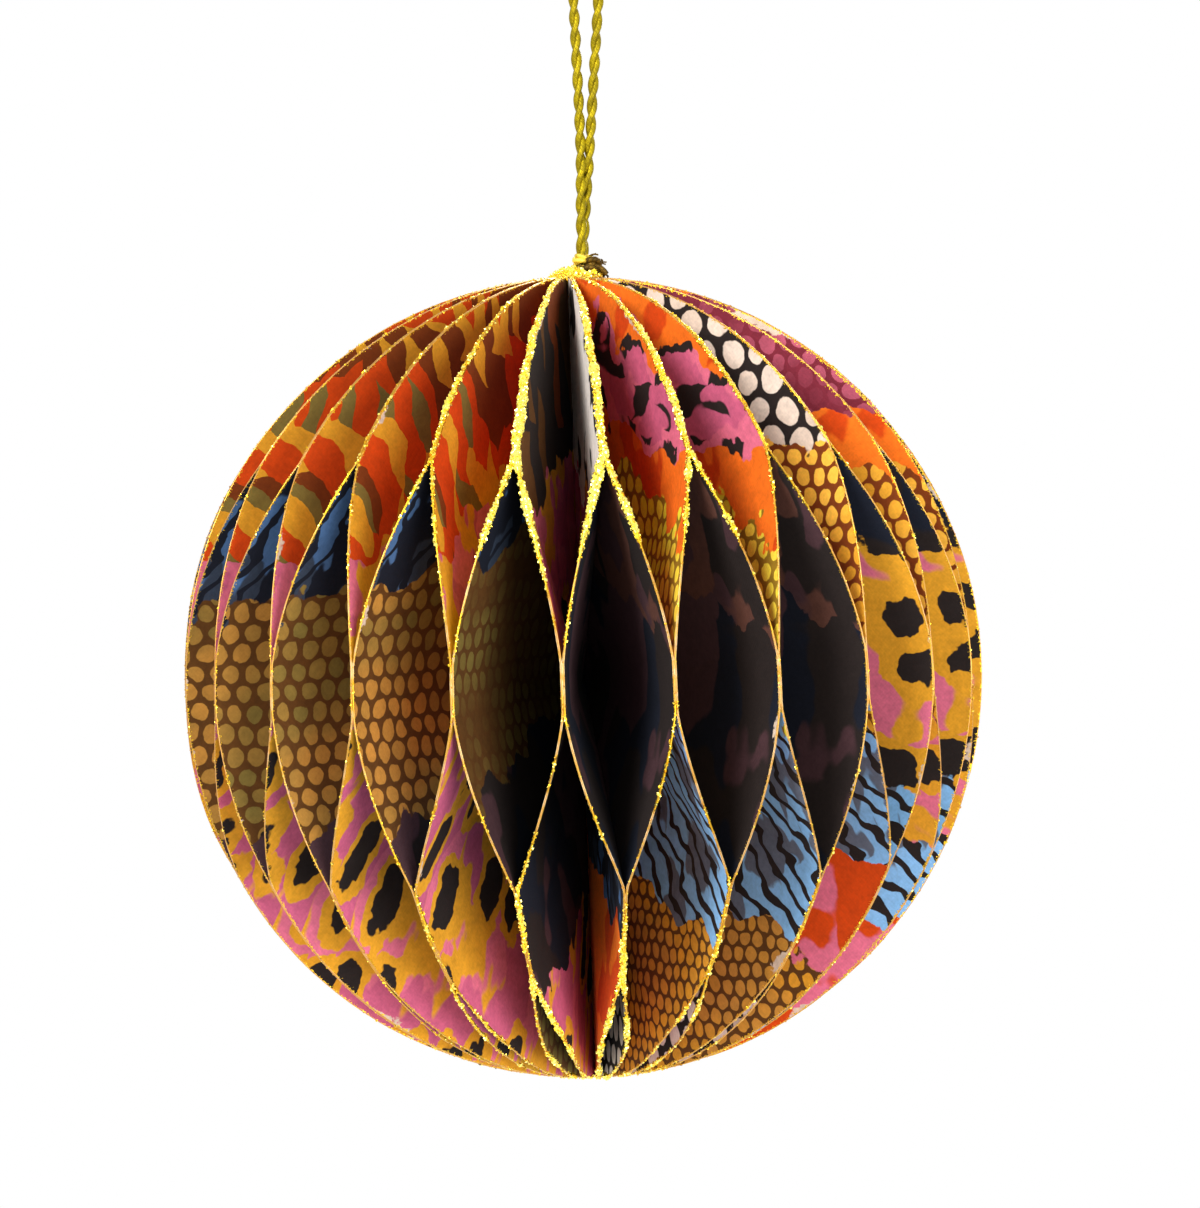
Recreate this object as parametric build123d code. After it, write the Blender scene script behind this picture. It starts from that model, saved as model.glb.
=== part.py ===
from build123d import *

import os
from math import cos, pi, radians, sin, sqrt, tan

# Honeycomb paper bauble: half-disc paper leaves stand round a hollow core and are glued to their
# neighbours by turns, so that they open into lens-shaped cells. A metallic cord hangs it up.
# Millimetres. The origin is the ball's centre, +Z is up its axis, and the seam cell faces -Y.
# Azimuths are in degrees from the front (-Y) towards +X.

# The ball
BALL_DIAMETER = 80.0
PAIR_COUNT = 24
FIRST_PAIR_AZIMUTH = 4.9

# The paper leaves
PAPER_THICKNESS = 0.2

# Places on the rim between which neighbours are glued face to face, in degrees above the ball's middle
TOP_JOIN_ANGLE = 34.6
MIDDLE_JOIN_UPPER_ANGLE = 5.5
MIDDLE_JOIN_LOWER_ANGLE = -1.7
FOOT_JOIN_UPPER_ANGLE = -26.4
FOOT_JOIN_LOWER_ANGLE = -42.5
FOOT_OPENING_ANGLE = -61.0

# The hand-glued joins drift round the ball, most at its sides: degrees away from the seam cell
TOP_DRIFT_ANGLE = -2.3
FOOT_DRIFT_ANGLE = 5.7

# The pairs beside the seam come apart again at the foot, by this share of the way to their other neighbour
FOOT_OPENING_SHARE = 0.5
FOOT_OPENING_FALLOFF = 8

# Flat gores that make up one bend of a leaf between two joins
GORES = 3

# The hanging cord and its knot
CORD_DIAMETER = 0.95
STRAND_GAP = 0.11
KNOT_HEIGHT = 2.1
KNOT_WAIST = 1.2
KNOT_SEAT_WIDTH = 0.25
# The knot lies beside the ball's axis, so that the ball hangs with a slight lean
KNOT_OFFSET = 1.5
TAIL_CLEARANCE = 0.1
TAIL_LENGTH = 6.0

# The hanging loop above the knot: its strands run side by side up to where they part, and then straight
# on to the hook that holds the loop
PARTING_HEIGHT = 11.0
HOOK_HEIGHT = 35.0
LOOP_HALF_WIDTH = 1.75
# Share of the shorter run beside a corner of the cord that its arc takes up
ARC_SHARE = 0.45

# A rim stretch between two creases is cut round where it spans at least this angle of the ball
ROUND_CUT_ANGLE = 13.0

# One turn of a circle, in degrees
TURN = 360.0

ball_radius = BALL_DIAMETER / 2
pitch = TURN / PAIR_COUNT
spine_radius = PAPER_THICKNESS / 2 / sin(radians(pitch / 4))
spine_height = sqrt(ball_radius**2 - spine_radius**2)
apex = Vector(0, -spine_radius, 0)
knot_top = ball_radius + KNOT_HEIGHT
strand_offset = (CORD_DIAMETER + STRAND_GAP) / 2


def heading(azimuth):
    """The level direction at an azimuth."""
    turn = radians(azimuth)
    return Vector(sin(turn), -cos(turn), 0)


def rim_point(latitude, joined, apart, share):
    """Where the crease to a latitude meets the ball's outline, in the frame of the leaf's pair.

    joined is the azimuth of the plane that the leaf shares with its own pair, apart is that of its other
    neighbour, and share says how far from the first to the second the crease stands.
    """
    rise = radians(latitude)
    level = ball_radius * cos(rise) - spine_radius
    outward = heading(joined) * (1 - share) + heading(apart) * share
    way = outward * level + Vector(0, 0, ball_radius * sin(rise))
    along = apex.dot(way) / way.dot(way)
    reach = sqrt(along**2 + (ball_radius**2 - apex.dot(apex)) / way.dot(way)) - along
    return apex + way * reach


def bend(joined_latitude, apart_latitude):
    """Latitudes and shares of the creases inside one bend, from a join of the pair to the other join."""
    rows = []
    for step in range(1, GORES):
        way = step / GORES
        latitude = joined_latitude + (apart_latitude - joined_latitude) * way
        rows.append((latitude, (way + sin(way * pi / 2)) / 2))
    return rows


def leaf_creases(pair_azimuth, side):
    """The rim ends of the leaf's spine and creases, from the top pole to the foot."""
    lean = sin(radians(pair_azimuth))
    apart = side * pitch / 2
    beside_seam = (1 + cos(radians(pair_azimuth))) / 2
    opening = FOOT_OPENING_SHARE * beside_seam**FOOT_OPENING_FALLOFF
    upper_rows = [
        (TOP_JOIN_ANGLE, 0),
        *bend(TOP_JOIN_ANGLE, MIDDLE_JOIN_UPPER_ANGLE),
        (MIDDLE_JOIN_UPPER_ANGLE, 1),
        (MIDDLE_JOIN_LOWER_ANGLE, 1),
    ]
    lower_rows = [
        *reversed(bend(FOOT_JOIN_UPPER_ANGLE, MIDDLE_JOIN_LOWER_ANGLE)),
        (FOOT_JOIN_UPPER_ANGLE, 0),
        (FOOT_JOIN_LOWER_ANGLE, 0),
        (FOOT_OPENING_ANGLE, opening),
    ]
    upper = [rim_point(at, TOP_DRIFT_ANGLE * lean, apart, share) for at, share in upper_rows]
    lower = [rim_point(at, FOOT_DRIFT_ANGLE * lean, apart, share) for at, share in lower_rows]
    pole = Vector(apex.X, apex.Y, spine_height)
    foot = Vector(apex.X, apex.Y, -spine_height)
    return [pole, *upper, *lower, foot]


def rim_edge(start, end):
    """The cut edge between two creases: round on a long stretch, straight on a narrow gore."""
    if start.get_angle(end) < ROUND_CUT_ANGLE:
        return Edge.make_line(start, end)
    flat = (start - apex).cross(end - apex).normalized()
    centre = flat * apex.dot(flat)
    outward = ((start + end) / 2 - centre).normalized()
    return Edge.make_three_point_arc(start, centre + outward * (start - centre).length, end)


def leaf(pair_azimuth, side):
    """One paper leaf: flat gores folded along creases that run from the spine's middle to the rim."""
    through = heading(side * pitch / 2) * spine_radius - apex
    creases = leaf_creases(pair_azimuth, side)
    rims = [rim_edge(start, end) for start, end in zip(creases, creases[1:])]
    faces = [Face.extrude(Edge.make_line(apex, end), through) for end in (creases[0], creases[-1])]
    for rim in rims:
        gore = Face(Wire([Edge.make_line(apex, rim @ 0), rim, Edge.make_line(rim @ 1, apex)]))
        faces += [gore, gore.translate(through), Face.extrude(rim, through)]
    return Rot(0, 0, pair_azimuth) * Solid(Shell(faces))


def cord_knot():
    """The knot on the leaves' upper ends, with the glued tails beside it in the core."""
    seat_radius = spine_radius + KNOT_SEAT_WIDTH
    neck_radius = strand_offset + CORD_DIAMETER / 2
    outline = Polyline(
        (0, spine_height),
        (seat_radius, spine_height),
        ((seat_radius + neck_radius) / 2, spine_height + KNOT_WAIST),
        (neck_radius, knot_top),
        (0, knot_top),
        close=True,
    )
    knob = Pos(KNOT_OFFSET, 0, 0) * revolve(Plane.XZ * make_face(outline), Axis.Z)
    tails = Pos(0, 0, spine_height) * Cylinder(
        spine_radius - TAIL_CLEARANCE, TAIL_LENGTH, align=(Align.CENTER, Align.CENTER, Align.MAX)
    )
    return knob + tails


def cord_route():
    """The corner points of the hanging loop, from the knot over the hook and back to the knot."""
    strand = [(strand_offset, 0), (strand_offset, PARTING_HEIGHT), (LOOP_HALF_WIDTH, HOOK_HEIGHT)]
    rising = [Vector(KNOT_OFFSET - beside, 0, knot_top + above) for beside, above in strand]
    falling = [Vector(KNOT_OFFSET + beside, 0, knot_top + above) for beside, above in reversed(strand)]
    return rising + falling


def hanging_cord():
    """The cord as one plain tube, its corners rounded as far as the runs beside them allow."""
    points = cord_route()
    radii = []
    for before, here, after in zip(points, points[1:], points[2:]):
        turn = (here - before).get_angle(after - here)
        shorter_run = min((here - before).length, (after - here).length)
        radii.append(ARC_SHARE * shorter_run / tan(radians(turn / 2)))
    path = FilletPolyline(*points, radius=radii)
    print("cord radii", [round(r, 2) for r in radii], "length", round(path.length, 2))
    section = Plane(origin=path @ 0, z_dir=path % 0) * Circle(CORD_DIAMETER / 2)
    return sweep(section, path=path)


os.makedirs("parts", exist_ok=True)
for pair in range(PAIR_COUNT):
    azimuth = FIRST_PAIR_AZIMUTH + pair * pitch
    for number, side in ((2 * pair + 1, -1), (2 * pair + 2, 1)):
        export_step(leaf(azimuth, side), f"parts/leaf_{number:02d}.step")
export_step(cord_knot(), "parts/cord_knot.step")
export_step(hanging_cord(), "parts/hanging_cord.step")
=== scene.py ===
from math import atan2, cos, pi, radians, sin

import bmesh
import bpy
from mathutils import Matrix, Vector


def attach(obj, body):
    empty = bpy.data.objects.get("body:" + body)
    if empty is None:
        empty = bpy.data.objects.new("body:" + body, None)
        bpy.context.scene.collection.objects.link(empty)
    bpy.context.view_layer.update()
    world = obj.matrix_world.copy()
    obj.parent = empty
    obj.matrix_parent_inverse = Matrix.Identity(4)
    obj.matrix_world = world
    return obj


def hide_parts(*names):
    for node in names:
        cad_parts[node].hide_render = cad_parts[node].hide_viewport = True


# A honeycomb paper bauble: printed half-disc leaves with glittered rims, glued by turns to their
# neighbours, on a twisted metallic cord. Metres, in the part's own frame.

MM = 0.001
TURN = 2 * pi

# The ball and its leaves, as in the part's source
BALL_RADIUS = 40.0 * MM
PAIR_COUNT = 24
FIRST_PAIR_AZIMUTH = radians(4.9)
PAPER = 0.2 * MM
TOP_JOIN = radians(34.6)
MIDDLE_JOIN_UPPER = radians(5.5)
MIDDLE_JOIN_LOWER = radians(-1.7)
FOOT_JOIN_UPPER = radians(-26.4)
FOOT_JOIN_LOWER = radians(-42.5)
FOOT_OPENING_AT = radians(-61.0)
TOP_DRIFT = radians(-2.3)
FOOT_DRIFT = radians(5.7)
FOOT_OPENING = 0.5
FOOT_OPENING_FALLOFF = 8
PITCH = TURN / PAIR_COUNT
SPINE_RADIUS = PAPER / 2 / sin(PITCH / 4)

# How finely a leaf is drawn, how near its points are merged, from what angle a bend is a crease, and how
# much and how often its free stretches waver
LEAF_ROWS = 161
LEAF_COLUMNS = 9
MERGED_WITHIN = 0.002 * MM
CREASE = radians(35)
WAVER = 0.05
WAVES = 2.2

# The photograph's viewpoint
PHOTO_HEIGHT = 1208
FOCAL_PIXELS = 4880
SENSOR = 36.0
CAMERA_DISTANCE = 0.49
CAMERA_ELEVATION = radians(3.6)
CAMERA_ROLL = radians(2.0)
AIM_RIGHT = 1.8 * MM
AIM_UP = 7.3 * MM
NEAREST_SEEN = 0.01

# The floor lies below the camera's view. Between two shares of its radius it fades to white
FLOOR_HEIGHT = -120.0 * MM
FLOOR_RADIUS = 280.0 * MM
FLOOR_SIDES = 96
FADE_FROM = 0.45
FADE_TO = 0.95

# The light: how much the white surroundings give, and each lamp's place, width and power
SURROUNDINGS = 0.45
LAMPS = (
    ("key", (-0.4, -0.5, 0.42), 0.35, 6.0),
    ("fill", (0.3, -0.55, -0.02), 0.4, 3.2),
    ("back", (0.15, 0.6, 0.3), 0.5, 5.0),
)

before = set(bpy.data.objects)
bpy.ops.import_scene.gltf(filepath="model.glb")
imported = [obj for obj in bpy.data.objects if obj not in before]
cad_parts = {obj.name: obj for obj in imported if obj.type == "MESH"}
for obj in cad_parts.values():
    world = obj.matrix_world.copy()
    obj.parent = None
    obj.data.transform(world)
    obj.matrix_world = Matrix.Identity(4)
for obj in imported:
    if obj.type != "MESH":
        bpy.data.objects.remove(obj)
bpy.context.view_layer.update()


def ink(red, green, blue):
    """A printed colour, given in the 0 to 255 steps of a screen, as the shader's own values."""
    steps = [value / 255 for value in (red, green, blue)]
    return (*[s / 12.92 if s <= 0.04045 else ((s + 0.055) / 1.055) ** 2.4 for s in steps], 1.0)


def operator(name, swapped=False):
    """An operator method that adds a Math node."""
    def method(self, other=0.0):
        first, second = (other, self) if swapped else (self, other)
        return self.graph.node("ShaderNodeMath", {"operation": name}, {0: first, 1: second})
    return method


class Wire:
    """An output socket. Sums on it add Math nodes to its tree."""

    def __init__(self, graph, socket):
        self.graph = graph
        self.socket = socket

    __add__ = __radd__ = operator("ADD")
    __sub__ = operator("SUBTRACT")
    __rsub__ = operator("SUBTRACT", swapped=True)
    __mul__ = __rmul__ = operator("MULTIPLY")
    __truediv__ = operator("DIVIDE")
    __rtruediv__ = operator("DIVIDE", swapped=True)
    __gt__ = operator("GREATER_THAN")
    __abs__ = operator("ABSOLUTE")

    def __neg__(self):
        return 0.0 - self

    def do(self, name, other=0.0):
        """Any other operation of the Math node."""
        return self.graph.node("ShaderNodeMath", {"operation": name}, {0: self, 1: other})

    def clamp(self):
        return self.do("MAXIMUM", 0.0).do("MINIMUM", 1.0)

    def step(self, low, high):
        """0 below low, 1 above high and smooth between them."""
        return self.graph.node(
            "ShaderNodeMapRange",
            {"interpolation_type": "SMOOTHSTEP"},
            {"Value": self, "From Min": low, "From Max": high},
        )


class Graph:
    """A node tree with one way to add a node."""

    def __init__(self, tree):
        self.tree = tree

    def node(self, kind, settings=None, inputs=None, out=0):
        made = self.tree.nodes.new(kind)
        for name, value in (settings or {}).items():
            if name == "stops":
                self.set_stops(made.color_ramp, value)
            else:
                setattr(made, name, value)
        for key, value in (inputs or {}).items():
            if isinstance(value, Wire):
                self.tree.links.new(value.socket, made.inputs[key])
            else:
                made.inputs[key].default_value = value
        return Wire(self, made.outputs[out]) if made.outputs else None

    def also(self, wire, out):
        """Another output of the node that a wire comes from."""
        return Wire(self, wire.socket.node.outputs[out])

    @staticmethod
    def set_stops(ramp, stops):
        while len(ramp.elements) < len(stops):
            ramp.elements.new(1.0)
        for element, (place, colour) in zip(ramp.elements, stops):
            element.position = place
            element.color = colour

    def mix(self, share, first, second):
        """Between two colours."""
        return self.node("ShaderNodeMix", {"data_type": "RGBA"}, {0: share, 6: first, 7: second}, out=2)

    def vector(self, x, y, z=0.0):
        return self.node("ShaderNodeCombineXYZ", {}, {0: x, 1: y, 2: z})

    def parts(self, vector):
        x = self.node("ShaderNodeSeparateXYZ", {}, {0: vector})
        return x, self.also(x, 1), self.also(x, 2)

    def scaled(self, vector, factor):
        return self.node("ShaderNodeVectorMath", {"operation": "SCALE"}, {0: vector, "Scale": factor})

    def noise(self, vector, scale, detail=2.0, rough=0.5):
        return self.node(
            "ShaderNodeTexNoise",
            {},
            {"Vector": vector, "Scale": scale, "Detail": detail, "Roughness": rough},
        )

    def cells(self, vector, scale):
        """Uneven cells in a plane: how far a place is from its cell's middle."""
        return self.node(
            "ShaderNodeTexVoronoi",
            {"voronoi_dimensions": "2D"},
            {"Vector": vector, "Scale": scale, "Randomness": 0.8},
        )

    def chance(self, low, high, seed):
        """A random number for each point."""
        return self.node(
            "FunctionNodeRandomValue", {"data_type": "FLOAT"}, {2: low, 3: high, "Seed": seed}, out=1
        )

    def carried(self, name, out="Fac"):
        """In a material, what the mesh carries under a name."""
        return self.node("ShaderNodeAttribute", {"attribute_name": name}, {}, out=out)

    def stored(self, name):
        """In a geometry tree, the number that the geometry carries under a name."""
        return self.node("GeometryNodeInputNamedAttribute", {"data_type": "FLOAT"}, {"Name": name})

    def store(self, geometry, name, value, kind="FLOAT", domain="POINT"):
        """The geometry, with a value that it carries under a name."""
        return self.node(
            "GeometryNodeStoreNamedAttribute",
            {"data_type": kind, "domain": domain},
            {"Geometry": geometry, "Name": name, "Value": value},
        )

    def together(self, *geometries):
        """Several geometries as one."""
        whole = self.node("GeometryNodeJoinGeometry")
        for geometry in geometries:
            self.tree.links.new(geometry.socket, whole.socket.node.inputs[0])
        return whole


# Trees of geometry nodes


def new_tree(name, inputs):
    """A new geometry tree's graph, and the wires of its named inputs, which come with their socket types."""
    tree = bpy.data.node_groups.new(name, "GeometryNodeTree")
    for label, kind in inputs.items():
        tree.interface.new_socket(label, in_out="INPUT", socket_type=kind)
    tree.interface.new_socket("Geometry", in_out="OUTPUT", socket_type="NodeSocketGeometry")
    graph = Graph(tree)
    entry = tree.nodes.new("NodeGroupInput")
    return graph, {label: Wire(graph, entry.outputs[label]) for label in inputs}


def close_tree(graph, geometry):
    graph.node("NodeGroupOutput", {}, {"Geometry": geometry})
    return graph.tree


def grown(name, tree, values, start=None):
    """A plain mesh made by a geometry tree with these input values, on a start mesh or on none."""
    holder = bpy.data.objects.new(name, start or bpy.data.meshes.new(name))
    bpy.context.scene.collection.objects.link(holder)
    modifier = holder.modifiers.new(name, "NODES")
    modifier.node_group = tree
    for item in tree.interface.items_tree:
        if item.in_out == "INPUT" and item.name in values:
            modifier[item.identifier] = values[item.name]
    depsgraph = bpy.context.evaluated_depsgraph_get()
    mesh = bpy.data.meshes.new_from_object(
        holder.evaluated_get(depsgraph), preserve_all_data_layers=True, depsgraph=depsgraph
    )
    bpy.data.objects.remove(holder)
    mesh.name = name
    return mesh


def face_outwards(mesh):
    """Turns the mesh's faces outwards."""
    form = bmesh.new()
    form.from_mesh(mesh)
    bmesh.ops.recalc_face_normals(form, faces=form.faces)
    form.to_mesh(mesh)
    form.free()


def piece(name, mesh, slot, *nodes):
    """A finished piece of the bauble, in place of these nodes where it has any."""
    made = bpy.data.objects.new(name, mesh)
    bpy.context.scene.collection.objects.link(made)
    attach(made, "root")
    if nodes:
        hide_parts(*nodes)
    return made


# The leaves' shape


def slope(latitude):
    """The angle at which a crease leaves the spine's middle to meet the rim at a latitude."""
    return atan2(BALL_RADIUS * sin(latitude), BALL_RADIUS * cos(latitude) - SPINE_RADIUS)


LEAF_INPUTS = {
    "Pair azimuth": "NodeSocketFloat",
    "Side": "NodeSocketFloat",
    "Lean": "NodeSocketFloat",
    "Foot opening": "NodeSocketFloat",
    "Leaf number": "NodeSocketFloat",
}


def eased(way):
    """A leaf's bend: sharp at the pair's own join, easing out towards the other neighbour's."""
    return (way + (way * (pi / 2)).do("SINE")) / 2


def leaf_ray(graph, leaf, along):
    """The direction, length and rise of a line from the spine's middle to the rim, from pole to foot."""
    rise = pi / 2 - along * pi
    top_bend = ((slope(TOP_JOIN) - rise) / (slope(TOP_JOIN) - slope(MIDDLE_JOIN_UPPER))).clamp()
    foot_span = slope(MIDDLE_JOIN_LOWER) - slope(FOOT_JOIN_UPPER)
    foot_bend = ((rise - slope(FOOT_JOIN_UPPER)) / foot_span).clamp()
    opening_span = slope(FOOT_JOIN_LOWER) - slope(FOOT_OPENING_AT)
    opened = ((slope(FOOT_JOIN_LOWER) - rise) / opening_span).clamp() * leaf["Foot opening"]
    share = eased(top_bend) * eased(foot_bend)
    waver = graph.noise(graph.vector(rise * WAVES, leaf["Leaf number"] * 7.3), 1.0) - 0.5
    share = share + waver * share * (1 - share) * (4 * WAVER) + opened
    drift = (rise > 0.0) * (TOP_DRIFT - FOOT_DRIFT) + FOOT_DRIFT
    join_angle = drift * leaf["Lean"]
    apart_angle = leaf["Side"] * (PITCH / 2)
    across = join_angle.do("SINE") * (1 - share) + apart_angle.do("SINE") * share
    outward = join_angle.do("COSINE") * (1 - share) + apart_angle.do("COSINE") * share
    level = rise.do("COSINE") / (across * across + outward * outward).do("SQRT")
    x, y, z = across * level, -outward * level, rise.do("SINE")
    lean_in = -y * SPINE_RADIUS
    reach = (lean_in * lean_in + (BALL_RADIUS**2 - SPINE_RADIUS**2)).do("SQRT") - lean_in
    return x, y, z, reach, rise


def through_paper(leaf):
    """The step from a leaf's inner face to its outer one."""
    half = leaf["Side"] * (PITCH / 2)
    return half.do("SINE") * SPINE_RADIUS, SPINE_RADIUS - half.do("COSINE") * SPINE_RADIUS


def turned_to_place(graph, leaf, geometry):
    spin = graph.vector(0.0, 0.0, leaf["Pair azimuth"])
    return graph.node("GeometryNodeTransform", {}, {"Geometry": geometry, "Rotation": spin})


def leaf_tree():
    """A paper leaf: a fan from the spine's middle, given its thickness and printed on both faces."""
    graph, leaf = new_tree(
        "paper leaf",
        LEAF_INPUTS
        | {
            "Inner print": "NodeSocketMaterial",
            "Outer print": "NodeSocketMaterial",
            "Cut edge": "NodeSocketMaterial",
        },
    )
    grid = graph.node(
        "GeometryNodeMeshGrid",
        {},
        {"Size X": 1.0, "Size Y": 1.0, "Vertices X": LEAF_ROWS, "Vertices Y": LEAF_COLUMNS},
    )
    along, out_from_spine, _ = graph.parts(graph.also(grid, 1))
    x, y, z, reach, rise = leaf_ray(graph, leaf, along)
    run = reach * out_from_spine
    place = graph.vector(x * run, y * run - SPINE_RADIUS, z * run)
    print_place = graph.vector(
        run * rise.do("COSINE") / MM, run * rise.do("SINE") / MM, (reach - run) / MM
    )
    sheet = graph.store(grid, "print_place", print_place, kind="FLOAT_VECTOR")
    sheet = graph.store(sheet, "leaf_number", leaf["Leaf number"])
    sheet = graph.node("GeometryNodeSetPosition", {}, {"Geometry": sheet, "Position": place})
    step_x, step_y = through_paper(leaf)
    thick = graph.node(
        "GeometryNodeExtrudeMesh",
        {"mode": "FACES"},
        {"Mesh": sheet, "Offset": graph.vector(step_x, step_y), "Offset Scale": 1.0, "Individual": False},
    )
    outer = graph.node("GeometryNodeSetMaterial", {}, {"Geometry": thick, "Material": leaf["Outer print"]})
    outer = graph.node(
        "GeometryNodeSetMaterial",
        {},
        {"Geometry": outer, "Selection": graph.also(thick, "Side"), "Material": leaf["Cut edge"]},
    )
    inner = graph.node("GeometryNodeFlipFaces", {}, {"Mesh": sheet})
    inner = graph.node("GeometryNodeSetMaterial", {}, {"Geometry": inner, "Material": leaf["Inner print"]})
    both = graph.together(outer, inner)
    closed = graph.node("GeometryNodeMergeByDistance", {}, {"Geometry": both, "Distance": MERGED_WITHIN})
    placed = turned_to_place(graph, leaf, closed)
    return close_tree(graph, graph.node("GeometryNodeSetShadeSmooth", {}, {"Geometry": placed}))


# Inks and metals

ORANGE = ink(228, 108, 22)
RED_ORANGE = ink(200, 66, 6)
RUST = ink(116, 52, 12)
OCHRE = ink(214, 150, 36)
AMBER = ink(246, 186, 66)
HONEY = ink(186, 130, 54)
OLIVE = ink(120, 102, 46)
EARTH = ink(88, 54, 18)
PINK = ink(212, 106, 132)
MAUVE = ink(192, 90, 122)
MAROON = ink(112, 34, 48)
ROSE = ink(176, 84, 104)
SOOT = ink(34, 26, 24)
NAVY = ink(18, 22, 34)
PLUM = ink(68, 44, 48)
UMBER = ink(88, 54, 44)
BLUE = ink(70, 102, 144)
SKY = ink(126, 176, 222)
STEEL = ink(48, 58, 74)
SLATE = ink(92, 100, 116)
LIME = ink(222, 226, 52)
LEMON = ink(240, 212, 66)
MUSTARD = ink(138, 108, 24)
CHALK = ink(244, 234, 224)
BONE = ink(206, 184, 164)
PAPER_PULP = ink(226, 196, 140)
PALE_GOLD = ink(255, 242, 128)
GOLD = ink(255, 214, 52)
OLD_GOLD = ink(206, 158, 34)
PEACH = ink(206, 150, 92)
CORD_GOLD = ink(166, 146, 0)
CORD_SHADE = ink(120, 106, 0)
DARK_FOIL = ink(112, 84, 18)
DARK_FOIL_SHADE = ink(30, 20, 6)
PALE_FOIL = ink(250, 226, 90)
PALE_FOIL_SHADE = ink(176, 140, 20)
FLOOR_PAINT = ink(248, 247, 245)
WHITE = ink(255, 255, 255)

# Print motifs. Each gives its colour at a place of the print, in millimetres out from the spine and up

# How far apart the blotches lie, and the height of a row of dots as a share of the dots' pitch
SPOT_SPACING = 8.5
ROW_PITCH = 0.87


def blots(graph, at, size, colours):
    """Soft-edged blots of several colours, each colour laid over the one before it."""
    x, y, _ = graph.parts(at)
    laid = colours[0]
    for number, colour in enumerate(colours[1:], 1):
        place = graph.vector(x / size, y * 0.75 / size, number * 5.7)
        laid = graph.mix(graph.noise(place, 1.0, 2.0, 0.45).step(0.5, 0.53), laid, colour)
    return laid


def scales(graph, at, pitch, ground, dots):
    """Rounded dots in staggered rows on a ground, each dot in a tone of its own."""
    x, y, sheet = graph.parts(at)
    high = y / (pitch * ROW_PITCH)
    row = high.do("FLOOR")
    wide = x / pitch + row * 0.5
    column = wide.do("FLOOR")
    across = wide - column - 0.5
    above = (high - row - 0.5) * ROW_PITCH
    ragged = graph.noise(at, 0.8 / pitch, 1.0) - 0.5
    reach = (across * across + above * above).do("SQRT") + ragged * 0.2
    tone = graph.node(
        "ShaderNodeTexWhiteNoise", {"noise_dimensions": "2D"}, {"Vector": graph.vector(column, row)}
    )
    drift = graph.noise(graph.vector(x * 0.05, y * 0.07, sheet * 2.0), 1.0, 1.0).step(0.4, 0.6)
    colours = graph.mix((tone * 0.4 + drift * 0.7 - 0.05).clamp(), *dots)
    return graph.mix(reach.step(0.37, 0.41), colours, ground)


def tongues(graph, at, width, colours):
    """Leaning flame-shaped patches. Each colour comes with the start of its share of them."""
    x, y, _ = graph.parts(at)
    bend = (graph.noise(at, 0.13, 1.0) - 0.5) * 9.0
    leaning = graph.vector((x - y * 0.5 + bend) / width, (y + x * 0.5 + bend * 0.4) / (width * 2.6))
    patches = graph.cells(leaning, 1.0)
    _, chance, _ = graph.parts(graph.also(patches, "Color"))
    stops = [(start, colour) for colour, start in colours]
    ramp = graph.node("ShaderNodeValToRGB", {"stops": stops}, {"Fac": chance})
    ramp.socket.node.color_ramp.interpolation = "CONSTANT"
    return ramp


def spotted(graph, at, slant, ground, halo, spot):
    """Loose blotches, each in a paler halo, on soft blots. The slant turns and stretches them."""
    x, y, _ = graph.parts(at)
    (x_over_x, y_over_x), (x_over_y, y_over_y) = slant
    slanted = graph.vector(x * x_over_x + y * y_over_x, x * x_over_y + y * y_over_y)
    ragged = graph.noise(at, 0.42, 2.0) - 0.5
    cells = graph.cells(slanted, 1 / SPOT_SPACING)
    tone, _, _ = graph.parts(graph.also(cells, "Color"))
    reach = cells + ragged * 0.42 + tone * 0.1
    ringed = graph.mix(reach.step(0.43, 0.46), halo, blots(graph, slanted, 6.0, ground))
    return graph.mix(reach.step(0.28, 0.3), spot, ringed)


def rippled(graph, at, ground, line):
    """Wavy broken lines over soft blots."""
    x, y, _ = graph.parts(at)
    sway = graph.noise(graph.vector(x * 0.5, y), 0.2, 2.0) * 3.0
    wave = ((x * 0.3 + y * 0.24 + sway) * TURN).do("SINE")
    broken = graph.noise(at, 0.45, 1.0) * 1.1
    return graph.mix((wave - broken).step(-0.08, 0.06), blots(graph, at, 5.0, ground), line)


def veined(graph, at, ground, stroke):
    """Broad branching strokes between soft blots."""
    x, y, _ = graph.parts(at)
    vein = abs(graph.noise(graph.vector(x * 0.35, y), 0.19, 1.0) - 0.5)
    width = graph.noise(at, 0.24, 1.0) * 0.3 - 0.135
    return graph.mix((vein - width).step(-0.01, 0.01), stroke, blots(graph, at, 6.0, ground))


def embers(graph, at):
    return tongues(graph, at, 2.4, ((RED_ORANGE, 0.0), (OCHRE, 0.42), (RUST, 0.7), (OLIVE, 0.92)))


def blaze(graph, at):
    return blots(graph, at, 7.0, (ORANGE, RED_ORANGE, ORANGE))


def poppy(graph, at):
    return blots(graph, at, 7.0, (RED_ORANGE, PINK, RED_ORANGE))


def blossom(graph, at):
    return blots(graph, at, 5.0, (PINK, MAUVE, OCHRE))


def petals(graph, at):
    return veined(graph, at, (PINK, MAUVE), SOOT)


def singed(graph, at):
    x, y, _ = graph.parts(at)
    return blots(graph, graph.vector(x * 0.4, y * 0.4), 2.2, (SOOT, PINK))


def leopard(graph, at):
    return spotted(graph, at, ((1.15, 0.75), (-0.36, 0.55)), (PINK, OCHRE, MAUVE), OCHRE, SOOT)


def pansy(graph, at):
    return spotted(graph, at, ((0.75, 0.1), (0.1, 1.15)), (OCHRE, PINK), OCHRE, SOOT)


def honeycomb(graph, at):
    return scales(graph, at, 2.3, EARTH, (OLIVE, HONEY))


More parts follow.
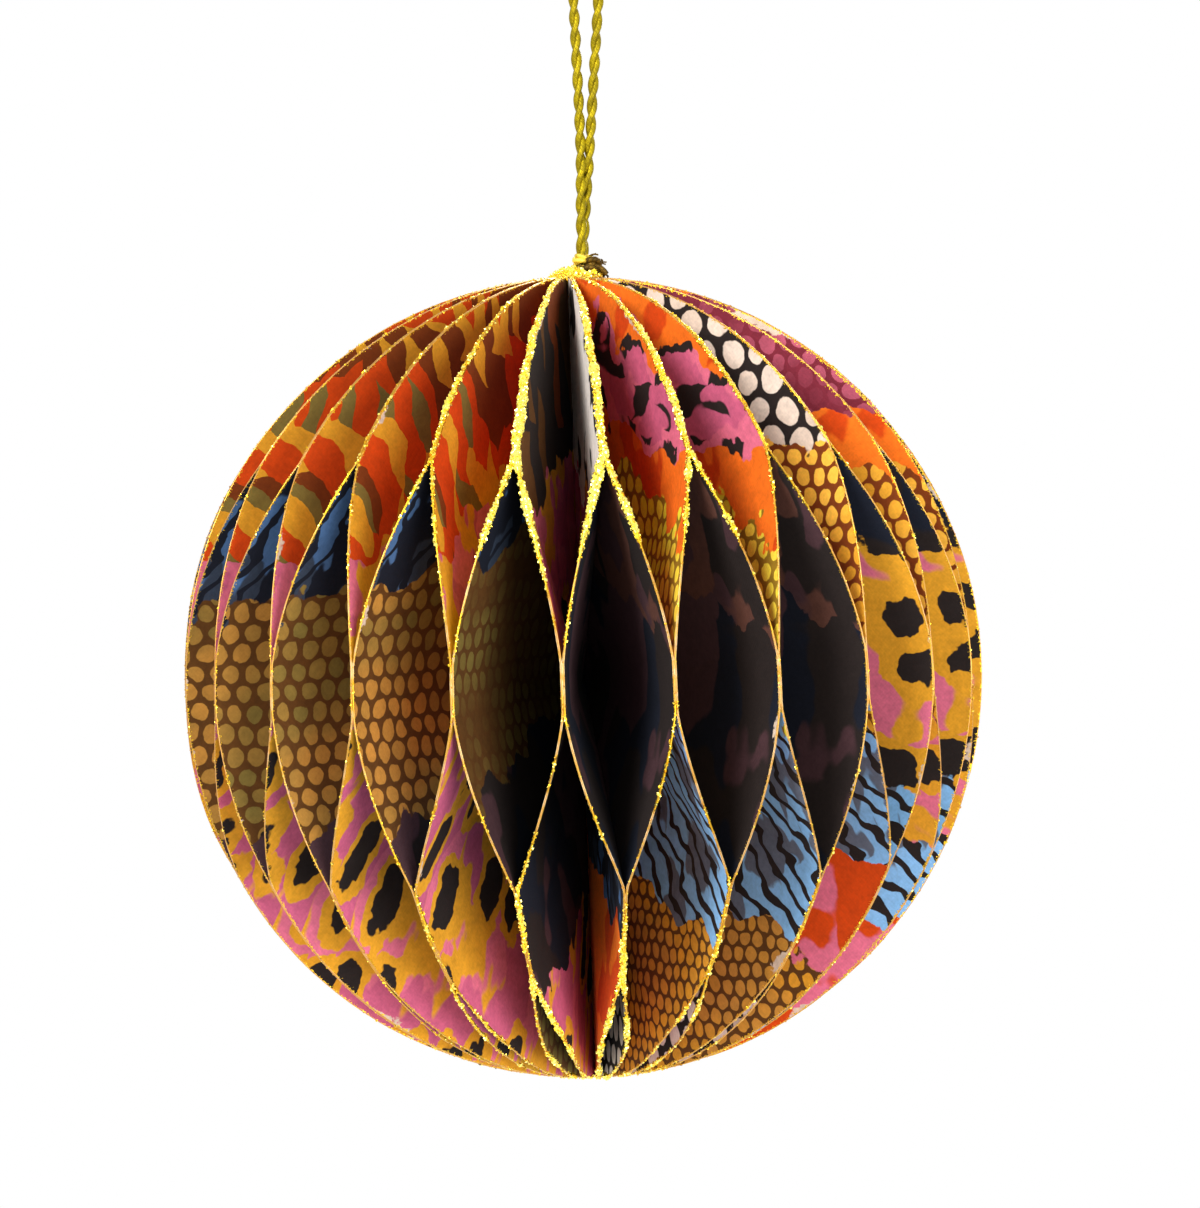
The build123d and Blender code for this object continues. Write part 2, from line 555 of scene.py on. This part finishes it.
def moss(graph, at):
    return scales(graph, at, 2.3, EARTH, (OLIVE, EARTH))


def wheat(graph, at):
    return scales(graph, at, 1.75, EARTH, (HONEY, OCHRE))


def citrus(graph, at):
    return scales(graph, at, 2.2, MUSTARD, (LIME, LEMON))


def amber(graph, at):
    return scales(graph, at, 2.1, RUST, (AMBER, OCHRE))


def chalk(graph, at):
    return scales(graph, at, 3.3, SOOT, (BONE, CHALK))


def rosehip(graph, at):
    return scales(graph, at, 2.1, MAROON, (ROSE, MAROON))


def water(graph, at):
    return rippled(graph, at, (SLATE, SKY, SKY), SOOT)


def midnight(graph, at):
    return rippled(graph, at, (STEEL, BLUE, NAVY), NAVY)


def dusk(graph, at):
    return blots(graph, at, 9.0, (NAVY, SOOT, PLUM))


def umber(graph, at):
    return blots(graph, at, 6.0, (UMBER, SOOT, PLUM))


def bark(graph, at):
    return tongues(graph, at, 4.0, ((SOOT, 0.0), (EARTH, 0.5), (RUST, 0.85)))


def birch(graph, at):
    return blots(graph, at, 6.0, (CHALK, SOOT, CHALK, CHALK))


# How the printed sheets were cut: for each cut, its motifs from the top with the height where each ends
CUTS = {
    "embers_cut": ((embers, 16), (blossom, 3), (leopard, None)),
    "bark_cut": ((bark, 15), (blossom, 0), (dusk, -30), (leopard, None)),
    "honey_cut": ((midnight, 11.5), (honeycomb, -12), (dusk, -28), (leopard, None)),
    "moss_cut": ((midnight, 14), (moss, -9), (dusk, -28), (moss, None)),
    "petal_cut": (
        (blaze, 30.5), (singed, 29.2), (petals, 23.4), (singed, 22), (blaze, 17), (citrus, 0), (water, -23),
        (wheat, None),
    ),
    "seam_cut": ((birch, 14), (blossom, 0), (midnight, -22), (blaze, None)),
    "chalk_cut": ((blaze, 35), (chalk, 22), (amber, 0), (water, -15), (poppy, -28), (wheat, None)),
    "rose_cut": (
        (blaze, 35), (rosehip, 25), (blaze, 20), (amber, 0), (pansy, -14), (water, -24), (poppy, None),
    ),
    "dusk_cut": ((dusk, None),),
    "slit_cut": ((umber, 8), (dusk, -28), (chalk, None)),
    "pansy_cut": ((dusk, 16), (pansy, -8), (water, None)),
}


# The paper's weave repeats at this many millimetres
WEAVE_PITCH = 0.42


def material(name):
    """A new material and the graph of its nodes."""
    made = bpy.data.materials.new(name)
    made.use_nodes = True
    made.node_tree.nodes.clear()
    return made, Graph(made.node_tree)


def finish_material(graph, inputs):
    shader = graph.node("ShaderNodeBsdfPrincipled", {}, inputs)
    graph.node("ShaderNodeOutputMaterial", {}, {"Surface": shader})


def printed_paper(name, bands):
    """Matt woven-faced paper with its print, and stray glitter along the rim."""
    made, graph = material(name)
    place = graph.carried("print_place", out="Vector")
    number = graph.carried("leaf_number")
    out, up, from_rim = graph.parts(place)
    # Each leaf is cut a little further along the printed sheet
    slide_out = (number * 0.35).do("SINE") * 3.0 + number * 0.21
    slide_up = (number * 0.22).do("SINE") * 1.2
    # The motifs and the edges between them waver
    warp = graph.noise(graph.vector(out, up, number * 0.2), 0.22, 2.0) - 0.5
    fray = graph.noise(graph.vector(out, up, number * 0.5), 1.5, 2.0) - 0.5
    shift = warp * 1.7 + fray * 0.3
    at = graph.vector(out + slide_out + shift, up + slide_up - shift, number * 0.37)
    wander = graph.noise(graph.vector(out, up, number * 0.3), 0.17, 2.0) - 0.5
    edge = up + slide_up + wander * 12.0 + fray + (out - 30.0) * 0.25
    colour = bands[0][0](graph, at)
    for (_, ends), (motif, _) in zip(bands, bands[1:]):
        colour = graph.mix((ends - edge).step(-0.1, 0.1), colour, motif(graph, at))
    # The rim is bare in places, and glitter has strayed from it
    worn = graph.noise(graph.vector(up * 0.16, number * 1.7), 1.0, 1.0) + graph.noise(at, 1.6, 2.0) * 0.2
    bare = (worn - from_rim * 0.12).step(0.76, 0.79)
    colour = graph.mix(bare, colour, BONE)
    grain = graph.noise(at, 5.0, 2.0)
    stray = (grain - from_rim * 0.8).step(0.49, 0.52)
    # The weave shows through, and the ink lies unevenly
    weave = (out * (TURN / WEAVE_PITCH)).do("SINE") * (up * (TURN / WEAVE_PITCH)).do("SINE")
    fade = graph.noise(at, 0.6, 3.0) * 0.45 + graph.noise(at, 2.4, 3.0) * 0.4 + 0.58 + weave * 0.025
    colour = graph.node(
        "ShaderNodeMix",
        {"data_type": "RGBA", "blend_type": "MULTIPLY"},
        {0: 1.0, 6: colour, 7: fade},
        out=2,
    )
    bump = graph.node(
        "ShaderNodeBump",
        {},
        {"Strength": 0.25, "Distance": 0.02 * MM, "Height": weave * 0.5 + grain + stray},
    )
    finish_material(
        graph,
        {
            "Base Color": graph.mix(stray, colour, GOLD),
            "Metallic": stray,
            "Roughness": 0.82 - stray * 0.45 + grain * 0.15,
            "Normal": bump,
            "Specular IOR Level": 0.2,
        },
    )
    return made


def glitter():
    """Gold grains that differ in tone and shine from one to the next, with paler tones on heavy loads as
    painted highlight.
    """
    made, graph = material("gold_glitter")
    tone = graph.carried("grain_tone")
    stops = [(0.1, PEACH), (0.35, OLD_GOLD), (0.6, GOLD), (0.9, PALE_GOLD)]
    finish_material(
        graph,
        {
            "Base Color": graph.node("ShaderNodeValToRGB", {"stops": stops}, {"Fac": tone}),
            "Metallic": 0.9,
            "Roughness": 0.34 - tone * 0.16,
        },
    )
    return made


def plain_edge():
    """The paper's cut edge, stained by the glitter's glue."""
    made, graph = material("cut_edge")
    at = graph.node("ShaderNodeTexCoord", {}, {}, out="Object")
    stain = graph.noise(at, 900.0, 3.0)
    finish_material(
        graph,
        {
            "Base Color": graph.mix(stain.step(0.4, 0.6), PAPER_PULP, OLD_GOLD),
            "Roughness": 0.6 - stain * 0.2,
        },
    )
    return made


# The glitter on the rims

RIM_POINTS = 261
RIMS_IN_PIECE = 12
BEAD_RADIUS = 0.14 * MM
BEAD_SIDES = 5

# Grains on a square metre of a fully loaded line, how their sizes spread, the chip that each one is, and what
# is added to the seed for their tones
GRAINS = 11.0e6
GRAIN_RADIUS = 0.13 * MM
SMALLEST_GRAIN = 0.45
LARGEST_GRAIN = 1.6
CHIP_SEGMENTS = 5
CHIP_RINGS = 2
CHIP_PROPORTIONS = (1.0, 0.9, 0.4)
TONE_SEED = 101

# The least load of glitter on a rim, and how much more its upper and lower stretches have: at the back, and
# beside the seam. Each stretch has the latitudes where it starts and where it is full. It thins to the pole
# More load also paints the glitter paler, a painted highlight on the seam side and upper stretches, and less
# load paints the back rims darker, a painted shade.
LEAST_LOAD = 0.18
BACK_LOAD = 0.1
SEAM_LOAD = 1.75
SEAM_FALLOFF = 11
UPPER_STRETCH = (radians(12), radians(34))
POLE_STRETCH = (radians(48), radians(75))
LOWER_STRETCH = (radians(15), radians(35))

# The lump of glittered glue round the knot's foot
MOUND_HALF_SIZE = (2.7 * MM, 2.3 * MM, 1.3 * MM)
MOUND_MIDDLE = (0.9 * MM, 0.0, 39.95 * MM)
# Its high load also paints its glitter pale, a painted highlight.
MOUND_LOAD = 1.8
MOUND_SEED = 7

GLITTER_INPUTS = {
    "Grain radius": "NodeSocketFloat",
    "Grains": "NodeSocketFloat",
    "Gold": "NodeSocketMaterial",
}


def grained(graph, glue, values, seed):
    """A dull glue mesh with gold chips scattered on it at random: the more load, the larger, and the paler in
    colour as painted highlight.
    """
    load = graph.stored("load")
    points = graph.node(
        "GeometryNodeDistributePointsOnFaces",
        {},
        {"Mesh": glue, "Density": values["Grains"] * load, "Seed": seed},
    )
    chip = graph.node(
        "GeometryNodeMeshUVSphere", {}, {"Segments": CHIP_SEGMENTS, "Rings": CHIP_RINGS, "Radius": 1.0}
    )
    chip = graph.node("GeometryNodeTransform", {}, {"Geometry": chip, "Scale": CHIP_PROPORTIONS})
    size = graph.chance(SMALLEST_GRAIN, LARGEST_GRAIN, seed)
    turn = graph.node(
        "FunctionNodeRandomValue", {"data_type": "FLOAT_VECTOR"}, {1: (TURN, TURN, TURN), "Seed": seed}
    )
    grains = graph.node(
        "GeometryNodeInstanceOnPoints",
        {},
        {
            "Points": points,
            "Instance": chip,
            "Rotation": turn,
            "Scale": size * values["Grain radius"] * (load * 0.35 + 0.65),
        },
    )
    # The tone is partly random and partly painted light: the more load, as on the seam and upper rims, the
    # paler the glue and grains are painted, and the less load, the darker.
    tone = graph.chance(0.0, 1.0, seed + TONE_SEED)
    both = graph.together(
        graph.store(glue, "grain_tone", load * 0.3 + 0.05),
        graph.store(grains, "grain_tone", tone * 0.7 + load * 0.3, domain="INSTANCE"),
    )
    plain = graph.node("GeometryNodeRealizeInstances", {}, {"Geometry": both})
    return graph.node("GeometryNodeSetMaterial", {}, {"Geometry": plain, "Material": values["Gold"]})


def glitter_tree():
    """A thin line of glue along one leaf's rim, with grains of gold on it, more of them near the top."""
    graph, leaf = new_tree(
        "glittered rim",
        LEAF_INPUTS | GLITTER_INPUTS | {"Bead radius": "NodeSocketFloat", "Extra load": "NodeSocketFloat"},
    )
    line = graph.node("GeometryNodeMeshLine", {}, {"Count": RIM_POINTS})
    along = graph.node("GeometryNodeInputIndex") / (RIM_POINTS - 1)
    x, y, z, reach, rise = leaf_ray(graph, leaf, along)
    step_x, step_y = through_paper(leaf)
    place = graph.vector(x * reach + step_x / 2, y * reach - SPINE_RADIUS + step_y / 2, z * reach)
    line = graph.node("GeometryNodeSetPosition", {}, {"Geometry": line, "Position": place})
    curve = graph.node("GeometryNodeMeshToCurve", {}, {"Mesh": line})
    runs = graph.noise(graph.vector(along * 26.0, leaf["Leaf number"] * 3.7), 1.0, 1.0)
    clumps = graph.noise(graph.vector(along * 110.0, leaf["Leaf number"] * 5.3), 1.0, 2.0)
    top = rise.step(*UPPER_STRETCH) * (1 - rise.step(*POLE_STRETCH) * 0.7)
    foot = (-rise).step(*LOWER_STRETCH) * 0.4
    extra = leaf["Extra load"]
    in_runs = runs.step(0.45, 0.62) * (extra * 0.35 + 0.32)
    in_clumps = clumps.step(0.45, 0.7) * (extra * 0.1 + 0.2)
    curve = graph.store(curve, "load", in_runs + in_clumps + LEAST_LOAD + (top + foot) * extra)
    ring = graph.node("GeometryNodeCurvePrimitiveCircle", {}, {"Resolution": BEAD_SIDES, "Radius": 1.0})
    load = graph.stored("load")
    radius = leaf["Bead radius"] * (load * load * 0.2 + load * 0.3 + 0.25)
    bead = graph.node(
        "GeometryNodeCurveToMesh",
        {},
        {"Curve": curve, "Profile Curve": ring, "Scale": radius, "Fill Caps": True},
    )
    seed = graph.node("FunctionNodeFloatToInt", {}, {0: leaf["Leaf number"]})
    return close_tree(graph, turned_to_place(graph, leaf, grained(graph, bead, leaf, seed)))


def mound_tree():
    """The lump of glittered glue on the leaves' upper ends."""
    graph, mound = new_tree(
        "glue mound", GLITTER_INPUTS | {"Half size": "NodeSocketVector", "Middle": "NodeSocketVector"}
    )
    ball = graph.node("GeometryNodeMeshIcoSphere", {}, {"Radius": 1.0, "Subdivisions": 4})
    place = graph.node("GeometryNodeInputPosition")
    lumps = graph.noise(place, 2.6, 2.0) - 0.5
    swollen = graph.scaled(place, lumps * 0.9 + 0.9)
    ball = graph.node("GeometryNodeSetPosition", {}, {"Geometry": ball, "Position": swollen})
    ball = graph.node(
        "GeometryNodeTransform",
        {},
        {"Geometry": ball, "Scale": mound["Half size"], "Translation": mound["Middle"]},
    )
    ball = graph.store(ball, "load", MOUND_LOAD)
    return close_tree(graph, grained(graph, ball, mound, MOUND_SEED))


def joined(name, meshes):
    """Several meshes as one, with their materials and attributes."""
    holders = [bpy.data.objects.new(name, mesh) for mesh in meshes]
    for holder in holders:
        bpy.context.scene.collection.objects.link(holder)
    with bpy.context.temp_override(active_object=holders[0], selected_editable_objects=holders):
        bpy.ops.object.join()
    whole = holders[0].data
    bpy.data.objects.remove(holders[0])
    whole.name = name
    return whole


# The hanging cord

CORD_STEP = 0.16 * MM

# The plies: the length of one turn is the lay, and the offset of a ply's middle is a share of its radius
PLY_RADIUS = 0.28 * MM
PLY_SIDES = 9
PLY_OFFSET = 0.85
LAY = 4.14 * MM

# One strand of the loop, as points across, in front of and above the ball's centre, in millimetres: the
# cord leans with the ball's hang, and its strands twist by a quarter turn between the parting and the knot
STRAND_MIDDLE = ((1.5, 42.1), (1.62, 44.5), (1.86, 48.5), (2.2, 53.1), (2.9, 71.4), (3.1, 77.1))
STRAND_BESIDE = ((0.1, 0.4), (0.13, 0.39), (0.3, 0.29), (0.43, 0.0), (1.46, 0.0), (1.75, 0.0))

# The knot, as points of its turns in millimetres: a collar round both strands, the overhand body with its
# cut ends to the right, and the tails that are glued into the core
KNOT_COLLAR = (
    (1.2, 0.75, 41.3), (0.8, 0.3, 41.4), (0.8, -0.6, 41.55), (1.5, -0.95, 41.75), (2.2, -0.55, 41.8),
    (2.2, 0.55, 41.75), (1.5, 0.9, 41.8), (0.85, 0.5, 41.85), (0.9, -0.5, 41.95), (1.5, -0.85, 42.0),
    (2.1, -0.4, 41.9),
)
KNOT_BODY = (
    (3.75, -0.3, 40.2), (3.2, -0.5, 40.6), (2.5, -0.9, 41.1), (1.8, -1.0, 40.9), (1.5, -0.3, 40.4),
    (2.0, 0.7, 40.5), (2.8, 0.5, 40.9), (3.0, -0.4, 41.4), (2.5, -1.2, 41.6), (1.9, -0.8, 41.2),
    (1.7, 0.3, 40.9), (2.2, 0.9, 41.1), (2.7, 0.7, 41.5), (3.0, 0.1, 41.3), (3.3, -0.1, 41.25),
)
CORE_TAIL_LEFT = ((1.4, -0.3, 41.2), (0.8, -0.3, 40.2), (0.45, -0.3, 38.5), (0.3, -0.3, 34.2))
CORE_TAIL_RIGHT = ((1.6, 0.3, 41.2), (1.0, 0.4, 40.2), (0.2, 0.4, 38.5), (-0.4, 0.3, 34.4))
FIBRE_RADIUS = 0.045 * MM
FRAYED_ENDS = (
    ((2.0, -0.6, 41.9), (2.4, -0.7, 42.4), (3.1, -0.75, 42.15)),
    ((2.1, -0.5, 41.9), (2.5, -0.4, 42.2), (2.9, -0.3, 42.3)),
    ((3.1, -0.1, 41.3), (3.5, -0.2, 41.5), (3.9, -0.3, 41.4)),
    ((3.1, -0.1, 41.25), (3.5, 0.0, 41.35), (3.8, 0.1, 41.2)),
    ((3.5, -0.35, 40.4), (3.8, -0.4, 40.3), (4.05, -0.5, 39.95)),
    ((3.6, -0.3, 40.3), (3.9, -0.2, 40.1), (4.0, -0.1, 39.85)),
)


def cord_points():
    """The loop's control points, from the knot up one strand and down the other."""
    rising, falling = [], []
    for (middle, height), (beside, before) in zip(STRAND_MIDDLE, STRAND_BESIDE):
        rising.append(Vector((middle - beside, -before, height)) * MM)
        falling.append(Vector((middle + beside, before, height)) * MM)
    return rising + falling[::-1]


def smooth_line(name, points):
    """A mesh line along the smooth spline that has these control points."""
    curve = bpy.data.curves.new(name, "CURVE")
    curve.dimensions = "3D"
    spline = curve.splines.new("NURBS")
    spline.points.add(len(points) - 1)
    for control, point in zip(spline.points, points):
        control.co = (*point, 1.0)
    spline.order_u = 3
    spline.use_endpoint_u = True
    spline.resolution_u = 24
    holder = bpy.data.objects.new(name, curve)
    bpy.context.scene.collection.objects.link(holder)
    depsgraph = bpy.context.evaluated_depsgraph_get()
    line = bpy.data.meshes.new_from_object(holder.evaluated_get(depsgraph), depsgraph=depsgraph)
    bpy.data.objects.remove(holder)
    return line


def cord_tree():
    """Two plies laid round each other along a line."""
    graph, cord = new_tree(
        "twisted cord",
        {
            "Line": "NodeSocketGeometry",
            "Ply radius": "NodeSocketFloat",
            "Lay": "NodeSocketFloat",
            "Yarn": "NodeSocketMaterial",
        },
    )
    curve = graph.node("GeometryNodeMeshToCurve", {}, {"Mesh": cord["Line"]})
    curve = graph.node("GeometryNodeResampleCurve", {"mode": "LENGTH"}, {"Curve": curve, "Length": CORD_STEP})
    run = graph.node("GeometryNodeSplineParameter", {}, {}, out="Length")
    aside = graph.node("GeometryNodeInputNormal")
    ahead = graph.node("GeometryNodeInputTangent")
    before = graph.node("ShaderNodeVectorMath", {"operation": "CROSS_PRODUCT"}, {0: ahead, 1: aside})
    ring = graph.node("GeometryNodeCurvePrimitiveCircle", {}, {"Resolution": PLY_SIDES, "Radius": 1.0})
    ring = graph.store(ring, "around", graph.node("GeometryNodeInputIndex") / float(PLY_SIDES))
    plies = []
    for ply in (0, 1):
        angle = run / cord["Lay"] * TURN + ply * pi
        out = graph.scaled(aside, angle.do("COSINE") * cord["Ply radius"] * PLY_OFFSET)
        over = graph.scaled(before, angle.do("SINE") * cord["Ply radius"] * PLY_OFFSET)
        offset = graph.node("ShaderNodeVectorMath", {"operation": "ADD"}, {0: out, 1: over})
        strand = graph.node("GeometryNodeSetPosition", {}, {"Geometry": curve, "Offset": offset})
        strand = graph.store(strand, "run", run / MM)
        swell = graph.noise(graph.vector(run / MM, ply * 9.0), 0.9, 2.0) * 0.3 + 0.97
        tube = graph.node(
            "GeometryNodeCurveToMesh",
            {},
            {"Curve": strand, "Profile Curve": ring, "Scale": cord["Ply radius"] * swell, "Fill Caps": True},
        )
        plies.append(tube)
    both = graph.together(*plies)
    dressed = graph.node("GeometryNodeSetMaterial", {}, {"Geometry": both, "Material": cord["Yarn"]})
    return close_tree(graph, graph.node("GeometryNodeSetShadeSmooth", {}, {"Geometry": dressed}))


def yarn(name, light, dark):
    """Foil yarn: narrow flats wound slantwise round each ply, some of them dulled, with painted shade in the
    grooves between them.
    """
    made, graph = material(name)
    run = graph.carried("run")
    around = graph.carried("around")
    at = graph.node("ShaderNodeTexCoord", {}, {}, out="Object")
    slant = (run * 2.6 + around * 3.0).do("FRACT")
    groove = abs(slant - 0.5).step(0.3, 0.5)
    dull = graph.noise(at, 1500.0, 3.0)
    # The dark colour marks the dulled flats at random and is painted shade in the grooves.
    tone = (dull.step(0.35, 0.62) * 0.6 + groove * 0.3).clamp()
    bump = graph.node("ShaderNodeBump", {}, {"Strength": 0.4, "Distance": 0.03 * MM, "Height": dull - groove})
    finish_material(
        graph,
        {
            "Base Color": graph.mix(tone, light, dark),
            "Metallic": 0.75,
            "Roughness": 0.45 + dull * 0.2 + groove * 0.15,
            "Normal": bump,
        },
    )
    return made


# Which cut each pair has on its four faces. Pairs are counted from the front towards +X, and round the back
FIVE_CUTS = ("petal_cut", "petal_cut", "chalk_cut", "rose_cut", "rose_cut")
OUTER_LEFT = ("seam_cut",) + FIVE_CUTS * 4 + ("petal_cut",) * 3
INNER_RIGHT = (("slit_cut",) * 3 + ("pansy_cut",) * 4 + ("dusk_cut",)) * 3
INNER_LEFT = ("dusk_cut",) + ("honey_cut",) * 22 + ("moss_cut",)
OUTER_RIGHT = ("embers_cut",) * 23 + ("bark_cut",)

# Building the bauble

cuts = {name: printed_paper(name, bands) for name, bands in CUTS.items()}
gold = glitter()
cut_edge = plain_edge()

paper = leaf_tree()
rim = glitter_tree()
coat = {"Grain radius": GRAIN_RADIUS, "Grains": GRAINS, "Gold": gold}
rims = []
for pair in range(PAIR_COUNT):
    azimuth = FIRST_PAIR_AZIMUTH + pair * PITCH
    beside_seam = (1 + cos(azimuth)) / 2
    prints = {-1: (INNER_LEFT[pair], OUTER_LEFT[pair]), 1: (INNER_RIGHT[pair], OUTER_RIGHT[pair])}
    for number, side in ((2 * pair + 1, -1), (2 * pair + 2, 1)):
        node = f"leaf_{number:02d}"
        shape = {
            "Pair azimuth": azimuth,
            "Side": float(side),
            "Lean": sin(azimuth),
            "Foot opening": FOOT_OPENING * beside_seam**FOOT_OPENING_FALLOFF,
            "Leaf number": float(number),
        }
        inner, outer = prints[side]
        faces = {"Inner print": cuts[inner], "Outer print": cuts[outer], "Cut edge": cut_edge}
        mesh = grown(f"paper_{node}", paper, shape | faces)
        face_outwards(mesh)
        mesh.set_sharp_from_angle(angle=CREASE)
        piece(f"paper_{node}", mesh, "printed_paper", node)
        load = BACK_LOAD + (SEAM_LOAD - BACK_LOAD) * beside_seam**SEAM_FALLOFF
        bead = {"Bead radius": BEAD_RADIUS, "Extra load": load}
        rims.append(grown(f"rim_{number:02d}", rim, shape | coat | bead))
for first in range(0, len(rims), RIMS_IN_PIECE):
    name = f"glitter_rims_{first // RIMS_IN_PIECE + 1}"
    mesh = joined(name, rims[first : first + RIMS_IN_PIECE])
    piece(name, mesh, "gold_glitter")

mound = grown("hub_glue_mound", mound_tree(), coat | {"Half size": MOUND_HALF_SIZE, "Middle": MOUND_MIDDLE})
piece("hub_glue_mound", mound, "gold_glitter")

# The knot's body, tails and frayed ends are drawn in a darker yarn, and its collar in a paler one, than the
# loop.
bright_yarn = yarn("gold_yarn", CORD_GOLD, CORD_SHADE)
dark_yarn = yarn("dark_foil_yarn", DARK_FOIL, DARK_FOIL_SHADE)
pale_yarn = yarn("pale_yarn", PALE_FOIL, PALE_FOIL_SHADE)
laid = cord_tree()
route = smooth_line("cord_route", cord_points())
values = {"Ply radius": PLY_RADIUS, "Lay": LAY, "Yarn": bright_yarn}
cord_mesh = grown("hanging_loop_cord", laid, values, route)
cord = piece("hanging_loop_cord", cord_mesh, "gold_cord", "hanging_cord")

turns = []
for points, used_yarn, thickness in (
    (KNOT_COLLAR, pale_yarn, 0.8),
    (KNOT_BODY, dark_yarn, 1.0),
    (CORE_TAIL_LEFT, dark_yarn, 1.0),
    (CORE_TAIL_RIGHT, dark_yarn, 1.0),
):
    line = smooth_line("knot_line", [Vector(point) * MM for point in points])
    values = {"Ply radius": PLY_RADIUS * thickness, "Lay": LAY * thickness, "Yarn": used_yarn}
    turns.append(grown("knot_turn", laid, values, line))
for points in FRAYED_ENDS:
    line = smooth_line("fibre_line", [Vector(point) * MM for point in points])
    values = {"Ply radius": FIBRE_RADIUS, "Lay": LAY, "Yarn": dark_yarn}
    turns.append(grown("fibre", laid, values, line))
knot = piece("cord_knot_turns", joined("cord_knot_turns", turns), "gold_cord", "cord_knot")


# Stage, light and camera


def seen_share(graph, *other_rays):
    """1 for rays from the camera and of these other kinds, which see the backdrop, and 0 for the rest."""
    camera_rays = graph.node("ShaderNodeLightPath", {}, {}, out="Is Camera Ray")
    share = camera_rays
    for kind in other_rays:
        share = share.do("MAXIMUM", graph.also(camera_rays, kind))
    return share


def white_world():
    """Surroundings that are seen as white and give a soft light."""
    world = bpy.data.worlds.new("studio")
    bpy.context.scene.world = world
    world.use_nodes = True
    world.node_tree.nodes.clear()
    graph = Graph(world.node_tree)
    seen = seen_share(graph, "Is Glossy Ray", "Is Transmission Ray")
    strength = seen * (1 - SURROUNDINGS) + SURROUNDINGS
    light = graph.node("ShaderNodeBackground", {}, {"Color": WHITE, "Strength": strength})
    graph.node("ShaderNodeOutputWorld", {}, {"Surface": light})


def pale_floor():
    """A pale disc under the hanging ball, which takes its shadow and fades to the white round it."""
    form = bmesh.new()
    bmesh.ops.create_circle(form, cap_ends=True, segments=FLOOR_SIDES, radius=FLOOR_RADIUS)
    mesh = bpy.data.meshes.new("floor")
    form.to_mesh(mesh)
    form.free()
    for vertex in mesh.vertices:
        vertex.co.z = FLOOR_HEIGHT
    made, graph = material("floor")
    x, y, _ = graph.parts(graph.node("ShaderNodeTexCoord", {}, {}, out="Object"))
    seen = seen_share(graph, "Is Glossy Ray")
    far = (x * x + y * y).do("SQRT").step(FLOOR_RADIUS * FADE_FROM, FLOOR_RADIUS * FADE_TO)
    matt = graph.node("ShaderNodeBsdfDiffuse", {}, {"Color": FLOOR_PAINT})
    white = graph.node("ShaderNodeEmission", {}, {"Color": WHITE, "Strength": 1.0})
    blend = graph.node("ShaderNodeMixShader", {}, {0: far * seen, 1: matt, 2: white})
    underside = graph.node("ShaderNodeNewGeometry", {}, {}, out="Backfacing")
    clear = graph.node("ShaderNodeBsdfTransparent")
    blend = graph.node("ShaderNodeMixShader", {}, {0: underside, 1: blend, 2: clear})
    graph.node("ShaderNodeOutputMaterial", {}, {"Surface": blend})
    mesh.materials.append(made)
    floor = bpy.data.objects.new("floor", mesh)
    bpy.context.scene.collection.objects.link(floor)


def area_lamp(name, place, size, power):
    """A soft round lamp that faces the ball's centre."""
    lamp = bpy.data.lights.new(name, "AREA")
    lamp.shape = "DISK"
    lamp.size = size
    lamp.energy = power
    holder = bpy.data.objects.new(name, lamp)
    bpy.context.scene.collection.objects.link(holder)
    holder.location = place
    holder.rotation_euler = (-Vector(place)).to_track_quat("-Z", "Y").to_euler()


def photo_camera():
    """The camera at the photograph's viewpoint, rolled as the ball hangs in it."""
    lens = bpy.data.cameras.new("photo")
    lens.sensor_fit = "VERTICAL"
    lens.sensor_height = SENSOR
    lens.lens = FOCAL_PIXELS / PHOTO_HEIGHT * SENSOR
    lens.clip_start = NEAREST_SEEN
    camera = bpy.data.objects.new("photo", lens)
    bpy.context.scene.collection.objects.link(camera)
    stand = Vector((0, -cos(CAMERA_ELEVATION), sin(CAMERA_ELEVATION))) * CAMERA_DISTANCE
    up = Vector((sin(CAMERA_ROLL), 0, cos(CAMERA_ROLL)))
    right = (-stand).cross(up).normalized()
    aim = right * AIM_RIGHT + right.cross(-stand).normalized() * AIM_UP
    back = (stand - aim).normalized()
    right = up.cross(back).normalized()
    turned = Matrix((right, back.cross(right), back)).transposed().to_4x4()
    camera.matrix_world = Matrix.Translation(stand) @ turned
    bpy.context.scene.camera = camera


white_world()
pale_floor()
for lamp_values in LAMPS:
    area_lamp(*lamp_values)
photo_camera()

bpy.context.scene.view_settings.view_transform = "Standard"
